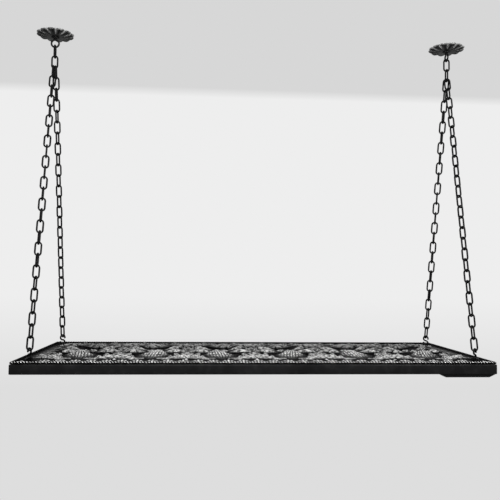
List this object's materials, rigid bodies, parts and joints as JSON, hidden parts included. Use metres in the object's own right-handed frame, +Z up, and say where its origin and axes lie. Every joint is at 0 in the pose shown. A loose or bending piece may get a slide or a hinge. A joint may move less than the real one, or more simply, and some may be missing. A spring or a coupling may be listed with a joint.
{
  "type": "hanging storage rack",
  "caption": "Black steel shelf with a pierced leaf-and-scroll panel and rope border, hung level from ceiling eyes by chain legs that swing.",
  "frame": {"origin": "on the ceiling plane, midway between the two eye bolts", "axes": "+X along the shelf to the viewer's right, +Y away from the viewer, +Z up into the ceiling"},
  "size_m": [1.032, 0.4, 0.8037],
  "materials": {
    "frame_paint": "semi-gloss black paint",
    "ornament_paint": "semi-gloss black paint over embossed relief",
    "chain_paint": "satin black paint",
    "fitting_paint": "semi-gloss black paint"
  },
  "bodies": {
    "ceiling_mounts": {"left_canopy": "fitting_paint", "left_collar": "fitting_paint", "left_eye_bolt": "fitting_paint", "right_canopy": "fitting_paint", "right_collar": "fitting_paint", "right_eye_bolt": "fitting_paint"},
    "left_top_link": {"left_top_link": "chain_paint"},
    "right_top_link": {"right_top_link": "chain_paint"},
    "left_chains": {"left_joining_link": "chain_paint", "left_front_chain": "chain_paint", "left_front_s_hook": "chain_paint", "left_back_chain": "chain_paint", "left_back_s_hook": "chain_paint"},
    "right_chains": {"right_joining_link": "chain_paint", "right_front_chain": "chain_paint", "right_front_s_hook": "chain_paint", "right_back_chain": "chain_paint", "right_back_s_hook": "chain_paint"},
    "shelf": {"front_tube": "frame_paint", "front_rope": "frame_paint", "right_tube": "frame_paint", "right_rope": "frame_paint", "back_tube": "frame_paint", "back_rope": "frame_paint", "left_tube": "frame_paint", "left_rope": "frame_paint", "pierced_panel": "ornament_paint", "leaf_ornaments": "ornament_paint", "rosettes": "ornament_paint", "scroll_ornaments": "ornament_paint", "left_cross_bar": "frame_paint", "right_cross_bar": "frame_paint", "corner_staples": "frame_paint", "under_lug": "frame_paint"}
  },
  "joints": [
    {"name": "fore_aft_swing", "type": "hinge", "parent": "ceiling_mounts", "child": "left_top_link", "pos_m": [-0.473, 0, -0.0318], "axis": [1, 0, 0], "range_deg": [-15, 15]},
    {"name": "right_fore_aft_swing", "type": "hinge", "parent": "ceiling_mounts", "child": "right_top_link", "pos_m": [0.473, 0, -0.0275], "axis": [1, 0, 0], "range_deg": [-15, 15]},
    {"name": "side_swing", "type": "hinge", "parent": "left_top_link", "child": "left_chains", "pos_m": [-0.473, 0, -0.057], "axis": [0, 1, 0], "range_deg": [-15, 15]},
    {"name": "right_side_swing", "type": "hinge", "parent": "right_top_link", "child": "right_chains", "pos_m": [0.473, 0, -0.0529], "axis": [0, 1, 0], "range_deg": [-15, 15]},
    {"name": "shelf_level", "type": "hinge", "parent": "left_chains", "child": "shelf", "pos_m": [-0.473, 0, -0.74403], "axis": [0, 1, 0], "range_deg": [-15, 15]}
  ],
  "couplings": [
    {"joint": "right_fore_aft_swing", "follows": "fore_aft_swing", "ratio": 1},
    {"joint": "right_side_swing", "follows": "side_swing", "ratio": 1},
    {"joint": "shelf_level", "follows": "side_swing", "ratio": -1}
  ]
}
